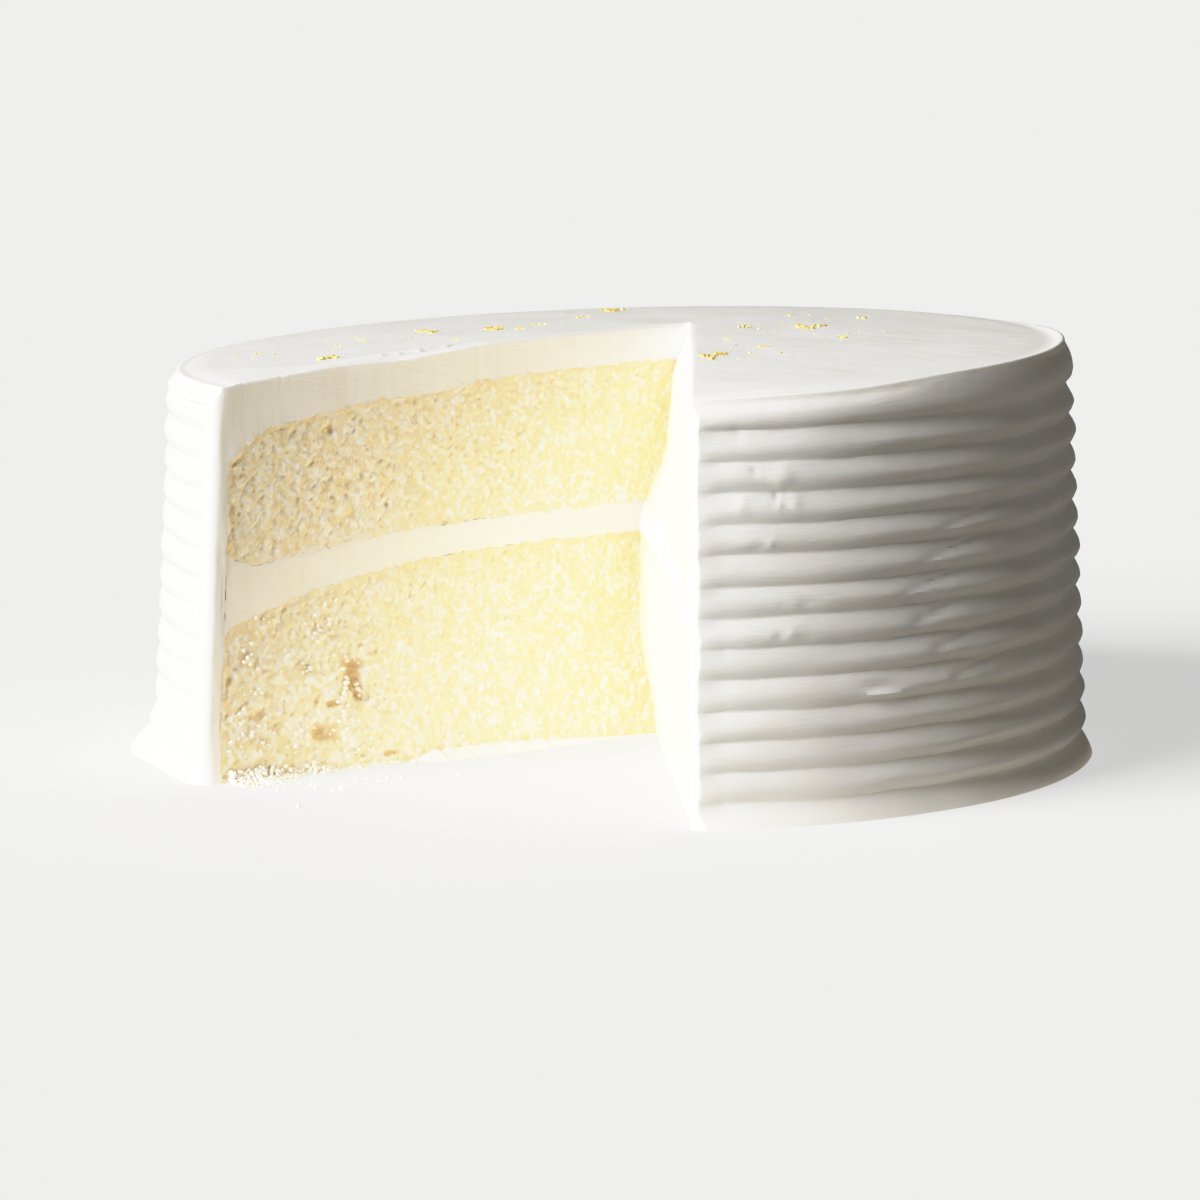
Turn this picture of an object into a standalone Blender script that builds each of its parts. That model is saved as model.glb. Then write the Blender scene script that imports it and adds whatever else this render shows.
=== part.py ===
# White layer cake with one wedge cut out, standing on z = 0. Metres, +Z up.
# Two domed sponge layers hold a cream filling between them. White frosting covers the top and
# the side, where a comb has left level bands, and golden flakes lie on the top.

import math

import bmesh
import bpy
from mathutils import Matrix, Vector, noise

MM = 0.001

# Driving dimensions: the whole cake
BASE_RADIUS = 88.6 * MM
SHOULDER_RADIUS = 84.9 * MM
SHOULDER_HEIGHT = 75.0 * MM
CROWN_HEIGHT = 78.7 * MM
CROWN_DROP = 3.4 * MM
RIM_RADIUS = 83.0 * MM
RIM_LIP = 0.5 * MM
TOP_LEAN = 0.031
AXIS_PLACE = Vector((1.8, -0.5)) * MM
GAP = 0.3 * MM
DOME_GAP = 0.4 * MM
SHARP_ANGLE = math.radians(38.0)

# How finely the turned shapes are divided
TURN_STEPS = 50
LAYER_RINGS = 5
DOME_RINGS = 7
TOP_RINGS = 5

# The combed bands on the side: each swells quickly above its groove, then slopes back to the next one
FIRST_GROOVE = 4.4 * MM
BAND_PITCH = 5.45 * MM
GROOVE_COUNT = 13
GROOVE_DEPTH = 1.7 * MM
BAND_CREST = 0.42
BAND_STATIONS = (0.0, 0.18, BAND_CREST, 0.75)
BAND_FULLNESS = 1.5
LOWEST_BAND_POINT = 0.6 * MM
HIGHEST_BAND_POINT = SHOULDER_HEIGHT - 1.6 * MM

# How the soft side wanders in and out and its bands waver up and down; both fade under the rim
SIDE_WANDER = 0.3 * MM
BAND_WAVER = 0.35 * MM
WANDER_LENGTH = 22.0 * MM
WANDER_STRETCH = 3.0
WAVER_FINENESS = 1.6
WANDER_FADE = (68.0 * MM, 73.0 * MM)

# The rim, as offsets outwards and down from its highest ring
RIM_INSIDE = 1.0 * MM
RIM_OUTSIDE = 0.6 * MM
RIM_FALL = 0.5 * MM
UNDER_RIM_INSIDE = 0.4 * MM
UNDER_RIM_FALL = 2.0 * MM
TOP_EDGE_WIDTH = 5.0 * MM

# The frosting's inner face and foot
INNER_BASE_RADIUS = 84.6 * MM
INNER_TAPER = 0.04
SKIN_DEPTH = 0.5 * MM
SIDE_TOP = SHOULDER_HEIGHT + 2.0 * MM
FOOT_SPREAD = 0.8 * MM
FOOT_HEIGHT = 3.0 * MM
FOOT_FALLOFF = 1.5
SMEAR_SPREAD = 3.6 * MM
SMEAR_HEIGHT = 10.0 * MM
SMEAR_AZIMUTH = math.radians(-95.0)
SMEAR_HALF_WIDTH = math.radians(17.0)

# The sponge layers and the filling: heights on the axis, and drops reached at a radius
LOWER_TOP = 39.7 * MM
LOWER_DROP = 10.6 * MM
LOWER_REACH = 83.0 * MM
UPPER_BOTTOM = 45.3 * MM
UPPER_BOTTOM_DROP = 5.4 * MM
UPPER_BOTTOM_REACH = 80.0 * MM
UPPER_TOP = 72.0 * MM
UPPER_TOP_DROP = 5.6 * MM
UPPER_TOP_REACH = 76.0 * MM

# The layers' rounded edges: how far each turns, from which radius and over which width
UNDER_EDGE_RISE = 3.4 * MM
UNDER_EDGE_START = 74.0 * MM
UNDER_EDGE_WIDTH = 8.0 * MM
TOP_EDGE_DROP = 5.0 * MM
TOP_EDGE_START = 70.0 * MM
TOP_EDGE_SPAN = 12.0 * MM
LOWER_EDGE_HEIGHT = 30.0 * MM
FILLING_EDGE_HEIGHT = 45.0 * MM
UPPER_EDGE_HEIGHT = 62.0 * MM
LOWER_EDGE_ROUNDING = 1.7 * MM
BASE_CHAMFER = 1.0 * MM

# The missing wedge: azimuths are turned from -Y towards +X
WEDGE_APEX = Vector((6.7, 12.5)) * MM
LEFT_CUT_AZIMUTH = math.radians(-55.5)
RIGHT_CUT_RIM = Vector((12.6, -87.0)) * MM
CUTTER_REACH = 120.0 * MM
CUTTER_LOW = -6.0 * MM
CUTTER_HIGH = 92.0 * MM
KNIFE_RISE = 6.0 * MM

# The crumb that the knife left, coarser and finer grains together, and torn towards the wall
CRUMB_SPACING = 3.3 * MM
CRUMB_DEPTH = 0.75 * MM
CRUMB_REST = 0.35
CRUMB_GRAIN = 4.0 * MM
FINE_GRAIN_SHARE = 0.5
FINE_GRAIN_SCALE = 2.1
SIDE_OFFSET = 70.0 * MM
TORN_DEPTH = 0.9 * MM
TORN_SCALE = 0.7
TORN_FROM = 55.0 * MM
TORN_TO = 85.0 * MM

# How far along the left cut the knife's tip strayed at each height: (height, distance)
APEX_STRAY = ((0.0, 0.0), (22.0, 3.7), (40.0, 3.7), (58.0, -2.6), (68.0, -3.7), (78.0, -7.6))

# Holes torn in the left cut: distance from the apex, height, half width, half height, depth
TORN_HOLES = ((68.5, 16.5, 2.2, 4.6, 3.0), (75.5, 8.5, 3.4, 2.2, 2.4))

# Golden flakes on the top: place, length, turn in degrees
FLAKE_CLUSTERS = ((16.1, -38.7, 5), (-1.5, 60.7, 4), (35.5, 5.4, 4), (-24.0, 18.3, 3), (-36.5, 19.5, 3))
SINGLE_FLAKES = ((-54.2, -16.9, 3.4, 30), (-18.8, 14.5, 2.0, 80), (-15.7, 22.0, 1.8, 10),
                 (-30.4, -0.7, 1.9, 140), (-48.7, 10.3, 1.7, 55), (-53.1, 4.0, 1.6, 100),
                 (-68.0, 2.5, 1.6, 20), (23.0, 5.6, 2.2, 170), (19.9, -16.7, 1.8, 60),
                 (26.2, -27.5, 2.1, 15), (41.0, -12.1, 1.9, 120), (32.5, 30.9, 2.2, 75),
                 (46.8, 27.2, 2.0, 5), (-7.5, 38.0, 1.9, 35))
FLAKE_LENGTH = 2.2 * MM
FLAKE_NARROWNESS = 0.55
FLAKE_THICKNESS = 0.7 * MM
FLAKE_RISE = 0.1
CLUSTER_SPREAD = 1.9 * MM
CLUSTER_TURN = 1.7
GOLDEN_ANGLE = math.radians(137.5)


def smoothstep(low, high, value):
    t = min(1.0, max(0.0, (value - low) / (high - low)))
    return t * t * (3.0 - 2.0 * t)


def lean(x):
    """Heights inside the cake grow to the right and shrink to the left."""
    return 1.0 + TOP_LEAN * x / CROWN_HEIGHT


def inner_radius(z):
    return INNER_BASE_RADIUS - INNER_TAPER * z


def crest_radius(z):
    return BASE_RADIUS + (SHOULDER_RADIUS - BASE_RADIUS) * z / SHOULDER_HEIGHT


def crown_height(r):
    return CROWN_HEIGHT - CROWN_DROP * (r / RIM_RADIUS) ** 2


def edge_radius(z):
    return inner_radius(z) - GAP


def lower_top(r):
    return LOWER_TOP - LOWER_DROP * (r / LOWER_REACH) ** 3


def upper_bottom(r):
    edge = max(0.0, (r - UNDER_EDGE_START) / UNDER_EDGE_WIDTH)
    return UPPER_BOTTOM - UPPER_BOTTOM_DROP * (r / UPPER_BOTTOM_REACH) ** 3 + UNDER_EDGE_RISE * edge ** 2


def upper_top(r):
    edge = max(0.0, (r - TOP_EDGE_START) / TOP_EDGE_SPAN)
    return UPPER_TOP - UPPER_TOP_DROP * (r / UPPER_TOP_REACH) ** 2 - TOP_EDGE_DROP * edge ** 2


def new_collection(name):
    collection = bpy.data.collections.new(name)
    bpy.context.scene.collection.children.link(collection)
    return collection


def add_mesh(name, bm, collection):
    mesh = bpy.data.meshes.new(name)
    bm.to_mesh(mesh)
    bm.free()
    obj = bpy.data.objects.new(name, mesh)
    collection.objects.link(obj)
    return obj


def settle(obj):
    """Turn an object's modifiers into its plain mesh."""
    graph = bpy.context.evaluated_depsgraph_get()
    mesh = bpy.data.meshes.new_from_object(obj.evaluated_get(graph))
    obj.modifiers.clear()
    obj.data = mesh
    mesh.name = obj.name


def turned(name, profile, collection):
    """A solid of revolution from (radius, height) points, given from the top centre outwards."""
    mesh = bpy.data.meshes.new(name)
    edges = [(i, i + 1) for i in range(len(profile) - 1)]
    mesh.from_pydata([(r, 0.0, z) for r, z in profile], edges, [])
    obj = bpy.data.objects.new(name, mesh)
    collection.objects.link(obj)
    screw = obj.modifiers.new("turn", "SCREW")
    screw.axis = "Z"
    screw.angle = math.tau
    screw.steps = TURN_STEPS
    screw.render_steps = TURN_STEPS
    screw.use_merge_vertices = True
    screw.merge_threshold = 0.000001
    settle(obj)
    return obj


def triangulate(obj):
    bm = bmesh.new()
    bm.from_mesh(obj.data)
    bmesh.ops.triangulate(bm, faces=bm.faces)
    bm.to_mesh(obj.data)
    bm.free()


def cut_away(obj, cutter):
    cut = obj.modifiers.new("wedge", "BOOLEAN")
    cut.operation = "DIFFERENCE"
    cut.solver = "EXACT"
    cut.object = cutter
    settle(obj)


def apex_at(z):
    """The wedge's inner edge, which wanders along the left cut as the knife did."""
    stray = APEX_STRAY[0][1]
    for (z0, s0), (z1, s1) in zip(APEX_STRAY, APEX_STRAY[1:]):
        stray += (s1 - s0) * smoothstep(z0 * MM, z1 * MM, z)
    return WEDGE_APEX + left_direction() * stray * MM


def left_direction():
    return Vector((math.sin(LEFT_CUT_AZIMUTH), -math.cos(LEFT_CUT_AZIMUTH)))


def crumb_relief(distance, z, side):
    """How much deeper than the knife's path the crumb lies at a place on a cut."""
    place = Vector((distance, z, side * SIDE_OFFSET)) / CRUMB_GRAIN
    fine = FINE_GRAIN_SHARE * noise.noise(place * FINE_GRAIN_SCALE)
    depth = CRUMB_DEPTH * (CRUMB_REST + noise.noise(place) + fine)
    if side < 0:
        depth += TORN_DEPTH * smoothstep(TORN_FROM, TORN_TO, distance) * abs(noise.noise(place * TORN_SCALE))
        for along, up, half_width, half_height, hole_depth in TORN_HOLES:
            u = (distance - along * MM) / (half_width * MM)
            v = (z - up * MM) / (half_height * MM)
            depth += hole_depth * MM * math.exp(-(u * u + v * v))
    return depth


def wedge_cutter(name, collection, spacing, relief):
    """The missing wedge as a loft of level sections: out along the left cut, back along the right."""
    outwards = [CUTTER_REACH]
    while spacing and outwards[-1] - spacing > spacing / 2:
        outwards.append(outwards[-1] - spacing)
    levels = int(round((CUTTER_HIGH - CUTTER_LOW) / (spacing or KNIFE_RISE)))
    bm = bmesh.new()
    rings = []
    for level in range(levels + 1):
        z = CUTTER_LOW + (CUTTER_HIGH - CUTTER_LOW) * level / levels
        apex = apex_at(z)
        left = left_direction()
        right = (RIGHT_CUT_RIM - apex).normalized()
        left_normal = Vector((left.y, -left.x))
        right_normal = Vector((-right.y, right.x))
        ring = []
        for distance in outwards:
            deeper = left_normal * relief(distance, z, -1) if relief else Vector((0.0, 0.0))
            ring.append(apex + left * distance + deeper)
        ring.append(apex)
        for distance in reversed(outwards):
            deeper = right_normal * relief(distance, z, 1) if relief else Vector((0.0, 0.0))
            ring.append(apex + right * distance + deeper)
        rings.append([bm.verts.new((p.x, p.y, z)) for p in ring])
    count = len(rings[0])
    for lower, upper in zip(rings, rings[1:]):
        for i in range(count):
            j = (i + 1) % count
            bm.faces.new((lower[i], lower[j], upper[j], upper[i]))
    bm.faces.new(rings[0])
    bm.faces.new(rings[-1])
    bmesh.ops.triangulate(bm, faces=bm.faces)
    bmesh.ops.recalc_face_normals(bm, faces=bm.faces)
    cutter = add_mesh(name, bm, collection)
    cutter.hide_render = True
    cutter.display_type = "WIRE"
    return cutter


def paint(obj, name, colour, roughness, metallic=0.0):
    material = bpy.data.materials.new(name)
    material.use_nodes = True
    shader = material.node_tree.nodes["Principled BSDF"]
    shader.inputs["Base Color"].default_value = (*colour, 1.0)
    shader.inputs["Roughness"].default_value = roughness
    shader.inputs["Metallic"].default_value = metallic
    obj.data.materials.clear()
    obj.data.materials.append(material)


def finish(obj):
    obj.data.shade_smooth()
    obj.data.set_sharp_from_angle(angle=SHARP_ANGLE)


def lean_inside(obj):
    for vertex in obj.data.vertices:
        vertex.co.z *= lean(vertex.co.x)


def layer(name, profile, collection, cutter):
    """A sponge layer or the filling: turned, leaned with the cake, then cut."""
    obj = turned(name, profile, collection)
    lean_inside(obj)
    triangulate(obj)
    cut_away(obj, cutter)
    finish(obj)
    return obj


def radii(outer, count):
    """Stations from the axis out, closer together towards the edge."""
    return [outer * math.sin(0.5 * math.pi * i / count) for i in range(count + 1)]


def lower_top_side():
    """The lower layer's top, from the axis out over its rounded edge."""
    edge = edge_radius(LOWER_EDGE_HEIGHT)
    points = [(r, lower_top(r)) for r in radii(edge - LOWER_EDGE_ROUNDING, LAYER_RINGS)]
    return points + [(edge, lower_top(edge) - LOWER_EDGE_ROUNDING)]


def build_lower_layer(collection, cutter):
    base = edge_radius(0.0)
    profile = lower_top_side() + [(base, BASE_CHAMFER), (base - BASE_CHAMFER, 0.0), (0.0, 0.0)]
    obj = layer("lower_layer", profile, collection, cutter)
    paint(obj, "pale_crumb_lower", (0.86, 0.76, 0.50), 0.9)


def build_filling(collection, cutter):
    top = [(r, upper_bottom(r) - GAP) for r in radii(edge_radius(FILLING_EDGE_HEIGHT), LAYER_RINGS)]
    bottom = [(r, z + GAP) for r, z in lower_top_side()]
    obj = layer("filling", top + bottom[::-1], collection, cutter)
    paint(obj, "cream_filling", (0.90, 0.87, 0.78), 0.5)


def build_upper_layer(collection, cutter):
    top = [(r, upper_top(r)) for r in radii(edge_radius(UPPER_EDGE_HEIGHT), DOME_RINGS)]
    bottom = [(r, upper_bottom(r)) for r in radii(edge_radius(FILLING_EDGE_HEIGHT), LAYER_RINGS)]
    obj = layer("upper_layer", top + bottom[::-1], collection, cutter)
    paint(obj, "pale_crumb_upper", (0.86, 0.76, 0.50), 0.9)


def band_side():
    """Points down the combed side, from under the shoulder to the foot."""
    points = []
    for band in range(GROOVE_COUNT, -1, -1):
        low = FIRST_GROOVE + (band - 1) * BAND_PITCH
        for station in reversed(BAND_STATIONS):
            z = low + station * BAND_PITCH
            if LOWEST_BAND_POINT <= z <= HIGHEST_BAND_POINT:
                points.append((crest_radius(z) - band_hollow(station), z))
    return points


def band_hollow(station):
    """Depth under the crests at a place in a band, from one groove at 0 up to the next at 1."""
    if station < BAND_CREST:
        away = 1.0 - station / BAND_CREST
    else:
        away = (station - BAND_CREST) / (1.0 - BAND_CREST)
    return GROOVE_DEPTH * away ** BAND_FULLNESS


def frosting_profile():
    lip = crown_height(RIM_RADIUS) + RIM_LIP
    top = [(r, crown_height(r)) for r in radii(RIM_RADIUS - TOP_EDGE_WIDTH, TOP_RINGS)]
    top += [(RIM_RADIUS - RIM_INSIDE, lip), (RIM_RADIUS + RIM_OUTSIDE, lip - RIM_FALL)]
    top += [(SHOULDER_RADIUS - UNDER_RIM_INSIDE, lip - UNDER_RIM_FALL)]
    foot = [(BASE_RADIUS, 0.0), (INNER_BASE_RADIUS, 0.0)]
    corner = inner_radius(UPPER_EDGE_HEIGHT)
    under = [(r, upper_top(r) + DOME_GAP) for r in radii(corner, DOME_RINGS)]
    return top + band_side() + foot + under[::-1]


def foot_spread(azimuth, z):
    away = math.remainder(azimuth - SMEAR_AZIMUTH, math.tau) / SMEAR_HALF_WIDTH
    smear = SMEAR_SPREAD * math.exp(-away ** 4) * max(0.0, 1.0 - z / SMEAR_HEIGHT) ** FOOT_FALLOFF
    return FOOT_SPREAD * max(0.0, 1.0 - z / FOOT_HEIGHT) + smear


def roughen_frosting(obj):
    """Lean the top, then let the combed side and the foot wander as soft cream does."""
    for vertex in obj.data.vertices:
        x, y, z = vertex.co
        r = math.hypot(x, y)
        if r > inner_radius(z) + SKIN_DEPTH and z < SIDE_TOP:
            direction = Vector((x, y, 0.0)) / r
            place = Vector((x, y, z * WANDER_STRETCH)) / WANDER_LENGTH
            side = 1.0 - smoothstep(*WANDER_FADE, z)
            push = side * SIDE_WANDER * noise.noise(place) + foot_spread(math.atan2(x, -y), z)
            if z > 0.0:
                vertex.co.z += side * BAND_WAVER * noise.noise(place * WAVER_FINENESS)
            vertex.co.x += direction.x * push
            vertex.co.y += direction.y * push
            vertex.co.z += (1.0 - side) * (lean(x) - 1.0) * z
        else:
            vertex.co.z *= lean(x)


def flake_places():
    """Yield each flake's place on the top, its length and its turn."""
    for x, y, length, turn in SINGLE_FLAKES:
        yield x * MM, y * MM, length * MM, math.radians(turn)
    for x, y, count in FLAKE_CLUSTERS:
        for i in range(count):
            angle = i * GOLDEN_ANGLE
            reach = CLUSTER_SPREAD * math.sqrt(i)
            place = x * MM + reach * math.cos(angle), y * MM + reach * math.sin(angle)
            yield *place, FLAKE_LENGTH, angle * CLUSTER_TURN


def add_flakes(frosting):
    """Set small golden shards into the top and join them to the frosting."""
    shards = new_collection("flakes")
    for x, y, length, turn in flake_places():
        bm = bmesh.new()
        bmesh.ops.create_icosphere(bm, subdivisions=1, radius=0.5)
        shape = Matrix.Diagonal((length, length * FLAKE_NARROWNESS, FLAKE_THICKNESS, 1.0))
        height = crown_height(math.hypot(x, y)) * lean(x) + FLAKE_THICKNESS * FLAKE_RISE
        spot = Matrix.Translation((x, y, height)) @ Matrix.Rotation(turn, 4, "Z")
        bm.transform(spot @ shape)
        add_mesh("flake", bm, shards)
    join = frosting.modifiers.new("flakes", "BOOLEAN")
    join.operation = "UNION"
    join.operand_type = "COLLECTION"
    join.solver = "EXACT"
    join.collection = shards
    settle(frosting)
    for shard in list(shards.objects):
        bpy.data.objects.remove(shard)
    bpy.data.collections.remove(shards)


def build_frosting(collection, cutter):
    obj = turned("frosting", frosting_profile(), collection)
    roughen_frosting(obj)
    triangulate(obj)
    cut_away(obj, cutter)
    add_flakes(obj)
    finish(obj)
    paint(obj, "white_frosting", (0.93, 0.92, 0.89), 0.45)


def centre_on_base(collection):
    """Move the cake so that the middle of its box, smeared foot included, is above the origin."""
    for obj in collection.objects:
        obj.data.transform(Matrix.Translation((AXIS_PLACE.x, AXIS_PLACE.y, 0.0)))


def main():
    for obj in list(bpy.data.objects):
        bpy.data.objects.remove(obj)
    cake = new_collection("white_cake")
    cutters = new_collection("cutters")
    knife = wedge_cutter("knife_wedge", cutters, 0.0, None)
    torn = wedge_cutter("crumb_wedge", cutters, CRUMB_SPACING, crumb_relief)
    build_lower_layer(cake, torn)
    build_filling(cake, knife)
    build_upper_layer(cake, torn)
    build_frosting(cake, knife)
    centre_on_base(cake)


main()
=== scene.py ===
# White layer cake with one wedge cut out: frosting, filling, two sponge layers, golden flakes and crumbs.
# Shapes are worked out in millimetres round the cake's own axis, and placed in metres at the end.
import bpy
import math
import random
import numpy as np
from mathutils import Matrix, Vector, noise


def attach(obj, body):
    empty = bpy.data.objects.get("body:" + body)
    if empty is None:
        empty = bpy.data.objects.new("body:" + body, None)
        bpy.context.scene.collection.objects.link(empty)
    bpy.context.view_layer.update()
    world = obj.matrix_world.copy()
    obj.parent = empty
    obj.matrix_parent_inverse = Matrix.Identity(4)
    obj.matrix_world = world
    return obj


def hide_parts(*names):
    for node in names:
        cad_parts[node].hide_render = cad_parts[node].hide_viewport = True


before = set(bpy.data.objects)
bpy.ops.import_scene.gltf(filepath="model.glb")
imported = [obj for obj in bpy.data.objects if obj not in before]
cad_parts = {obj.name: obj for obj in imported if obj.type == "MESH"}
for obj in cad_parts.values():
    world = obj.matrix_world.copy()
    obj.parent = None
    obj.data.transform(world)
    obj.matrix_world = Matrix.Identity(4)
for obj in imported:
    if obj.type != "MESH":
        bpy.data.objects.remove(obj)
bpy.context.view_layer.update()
millimetre = 0.001

cake = {
    "axisPlace": (1.8, -0.5),
    "baseRadius": 88.6, "shoulderRadius": 84.9, "shoulderHeight": 75.0,
    "crownHeight": 78.7, "crownDrop": 3.4, "rimRadius": 83.0, "rimLip": 0.5, "topLean": 0.031,
    "innerRadius": 84.6, "innerTaper": 0.04,
    "lowerTop": 39.7, "lowerDrop": 10.6, "lowerReach": 83.0,
    "upperBottom": 45.3, "upperBottomDrop": 5.4, "upperBottomReach": 80.0,
    "upperTop": 72.0, "upperTopDrop": 5.6, "upperTopReach": 76.0,
    # where the rounding of an edge starts, its width and its depth
    "upperBottomEdge": (74.0, 8.0, 3.4), "upperTopEdge": (70.0, 12.0, 5.0),
}
wedge = {
    "apex": (6.7, 12.5), "leftTurn": -55.5, "rightRim": (12.6, -87.0), "reach": 160.0,
    "heights": (0.0, 22.0, 40.0, 58.0, 68.0, 78.0),
    "strays": (0.0, 3.7, 3.7, -2.6, -3.7, -7.6),  # how far along the left cut the knife's tip went
}
leftTurn = math.radians(wedge["leftTurn"])
leftAlong = np.array((math.sin(leftTurn), -math.cos(leftTurn)))
leftInto = np.array((leftAlong[1], -leftAlong[0]))
wedgeApex = np.array(wedge["apex"])
rightRim = np.array(wedge["rightRim"])


# The cake's driving curves

def smoothstep(low, high, value):
    t = np.clip((value - low) / (high - low), 0.0, 1.0)
    return t * t * (3.0 - 2.0 * t)


def lean(x):
    return 1.0 + cake["topLean"] * x / cake["crownHeight"]


def innerRadius(z):
    return cake["innerRadius"] - cake["innerTaper"] * z


def crestRadius(z):
    taper = (cake["shoulderRadius"] - cake["baseRadius"]) / cake["shoulderHeight"]
    return cake["baseRadius"] + taper * z


def crownHeight(r):
    return cake["crownHeight"] - cake["crownDrop"] * (r / cake["rimRadius"]) ** 2


def lowerTop(r):
    return cake["lowerTop"] - cake["lowerDrop"] * (r / cake["lowerReach"]) ** 3


def upperBottom(r):
    start, width, depth = cake["upperBottomEdge"]
    edge = np.maximum(0.0, (r - start) / width)
    fall = cake["upperBottomDrop"] * (r / cake["upperBottomReach"]) ** 3
    return cake["upperBottom"] - fall + depth * edge ** 2


def upperTop(r):
    start, width, depth = cake["upperTopEdge"]
    edge = np.maximum(0.0, (r - start) / width)
    return cake["upperTop"] - cake["upperTopDrop"] * (r / cake["upperTopReach"]) ** 2 - depth * edge ** 2


def apexAt(z):
    stray = np.full(np.shape(z), wedge["strays"][0], float)
    for i in range(len(wedge["heights"]) - 1):
        step = wedge["strays"][i + 1] - wedge["strays"][i]
        stray = stray + step * smoothstep(wedge["heights"][i], wedge["heights"][i + 1], z)
    return wedgeApex + stray[..., None] * leftAlong


def rightCut(apex):
    # the right cut's direction out from the apex, and its direction into the cake
    along = rightRim - apex
    along = along / np.linalg.norm(along, axis=-1, keepdims=True)
    return along, np.stack([-along[..., 1], along[..., 0]], -1)


def edgeFan(curve, reach, count, lift=0.0):
    # places on a curve from the axis out, closer together towards the edge
    reaches = [reach * math.sin(0.5 * math.pi * i / count) for i in range(count + 1)]
    return [(r, float(curve(r)) + lift) for r in reaches]


def noiseAt(points, size, shift=0.0):
    return np.array([noise.noise(place) for place in (points / size + shift).tolist()])


# Meshes

def makeObject(name, points, faces):
    mesh = bpy.data.meshes.new(name)
    mesh.from_pydata(np.asarray(points, float).tolist(), [], faces)
    mesh.update()
    obj = bpy.data.objects.new(name, mesh)
    bpy.context.scene.collection.objects.link(obj)
    return obj


def readPoints(obj):
    values = np.empty(len(obj.data.vertices) * 3, np.float32)
    obj.data.vertices.foreach_get("co", values)
    return values.reshape(-1, 3).astype(float)


def writePoints(obj, points):
    obj.data.vertices.foreach_set("co", points.astype(np.float32).ravel())
    obj.data.update()


def setAttribute(obj, name, values):
    flat = values.ndim == 1
    attribute = obj.data.attributes.new(name, "FLOAT" if flat else "FLOAT_VECTOR", "POINT")
    attribute.data.foreach_set("value" if flat else "vector", values.astype(np.float32).ravel())


def settle(obj):
    graph = bpy.context.evaluated_depsgraph_get()
    mesh = bpy.data.meshes.new_from_object(obj.evaluated_get(graph))
    obj.modifiers.clear()
    obj.data = mesh
    mesh.name = obj.name


def turnedSolid(name, profile, turns):
    # profile runs from the middle of the top out, down and back to the axis; turns go round from -Y to +X
    rings = len(profile) - 2
    count = len(turns)
    radius = np.array([r for r, z in profile[1:-1]])[:, None]
    height = np.array([z for r, z in profile[1:-1]])[:, None]
    x, y = radius * np.sin(turns), -radius * np.cos(turns)
    wall = np.stack([x, y, height + 0.0 * x], -1).reshape(-1, 3)
    points = np.vstack([[0.0, 0.0, profile[0][1]], wall, [0.0, 0.0, profile[-1][1]]])
    last = len(points) - 1
    faces = []
    for i in range(count):
        j = (i + 1) % count
        faces.append((0, 1 + i, 1 + j))
        base = 1 + (rings - 1) * count
        faces.append((base + i, last, base + j))
        for ring in range(rings - 1):
            a = 1 + ring * count
            faces.append((a + i, a + count + i, a + count + j, a + j))
    return makeObject(name, points, faces)


def steps(low, high, size):
    return np.linspace(low, high, int(round(abs(high - low) / size)) + 1)


def edgeRounding(depth, rounding):
    # how far a rounded edge falls back at a depth inside the surface
    inside = np.clip(depth, 0.0, rounding)
    arc = rounding - np.sqrt(np.maximum(rounding ** 2 - (rounding - inside) ** 2, 0.0))
    return arc + np.clip(-depth, 0.0, 1.5)


def knifeWedge(name, leftSteps, rightSteps, levels, wallRounding=(0.0, 0.0), topRounding=0.0):
    # the space that the slice left, closed: in along the left cut, out along the right one
    z = levels[:, None]
    apex = apexAt(levels)
    right, rightInto = rightCut(apex)
    leftSide = apex[:, None, :] + leftSteps[::-1, None] * leftAlong
    rightSide = apex[:, None, :] + rightSteps[None, :, None] * right[:, None, :]
    sides = (leftSide, np.broadcast_to(leftInto, apex.shape)), (rightSide, rightInto)
    for (side, into), rounding in zip(sides, wallRounding):
        if rounding:
            r = np.hypot(side[..., 0], side[..., 1])
            fall = edgeRounding(crestRadius(z) - r, rounding)
            fall = fall + edgeRounding(crownHeight(r) * lean(side[..., 0]) - z, topRounding)
            side += fall[..., None] * into[:, None, :]
    ring = np.concatenate([leftSide, apex[:, None, :], rightSide], 1)
    count = ring.shape[1]
    points = np.concatenate([ring, np.broadcast_to(z[..., None], ring.shape[:2] + (1,))], -1).reshape(-1, 3)
    faces = []
    for level in range(len(levels) - 1):
        a, b = level * count, (level + 1) * count
        faces += [(a + i, b + i, b + (i + 1) % count, a + (i + 1) % count) for i in range(count)]
    top = (len(levels) - 1) * count
    faces.append(tuple(range(count)))
    faces.append(tuple(range(top + count - 1, top - 1, -1)))
    return makeObject(name, points, faces)


def cutAway(obj, cutter):
    knife = obj.modifiers.new("wedge", "BOOLEAN")
    knife.operation = "DIFFERENCE"
    knife.solver = "MANIFOLD"
    knife.object = cutter
    settle(obj)
    bpy.data.objects.remove(cutter)


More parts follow.
